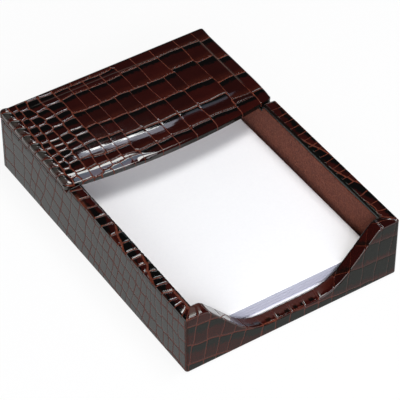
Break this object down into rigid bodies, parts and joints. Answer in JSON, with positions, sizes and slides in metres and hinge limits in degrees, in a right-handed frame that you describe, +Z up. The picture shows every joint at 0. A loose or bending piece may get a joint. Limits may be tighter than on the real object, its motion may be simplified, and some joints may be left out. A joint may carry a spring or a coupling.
{
  "type": "memo pad holder",
  "caption": "Leather-covered desk tray for loose memo sheets, with a fixed padded hood over its rear part and a finger scoop cut into its front wall.",
  "frame": {"origin": "on the desk, under the middle of the tray's footprint", "axes": "+Z up, +Y from the scooped front wall to the hooded back, +X to the right seen from the front"},
  "size_m": [0.12, 0.17, 0.0372],
  "materials": {
    "croc_leather": "dark mahogany croc-embossed leather, glazed and burnished, with rust-brown grooves",
    "suede_lining": "matte brown suede with a short uneven nap",
    "carcass_board": "raw medium-density fibreboard",
    "foam": "thin open-cell foam sheet",
    "card": "grey card",
    "felt": "dark brown pressed wool felt",
    "paper": "plain white uncoated note paper, cut edges"
  },
  "bodies": {
    "holder": {"front_leather": "croc_leather", "right_leather": "croc_leather", "back_leather": "croc_leather", "left_leather": "croc_leather", "hood_leather": "croc_leather", "front_lining": "suede_lining", "right_lining": "suede_lining", "back_lining": "suede_lining", "left_lining": "suede_lining", "floor_lining": "suede_lining", "hood_lining": "suede_lining", "front_wall_board": "carcass_board", "right_wall_board": "carcass_board", "back_wall_board": "carcass_board", "left_wall_board": "carcass_board", "base_board": "carcass_board", "hood_board": "carcass_board", "hood_padding": "foam", "fill_card": "card", "base_felt": "felt"},
    "memo_stack": {"memo_stack": "paper"}
  },
  "joints": [
    {"name": "memo_stack_lift", "type": "hinge", "parent": "holder", "child": "memo_stack", "pos_m": [0, 0.075, 0.0046], "axis": [-1, 0, 0], "range_deg": [0, 12]}
  ]
}
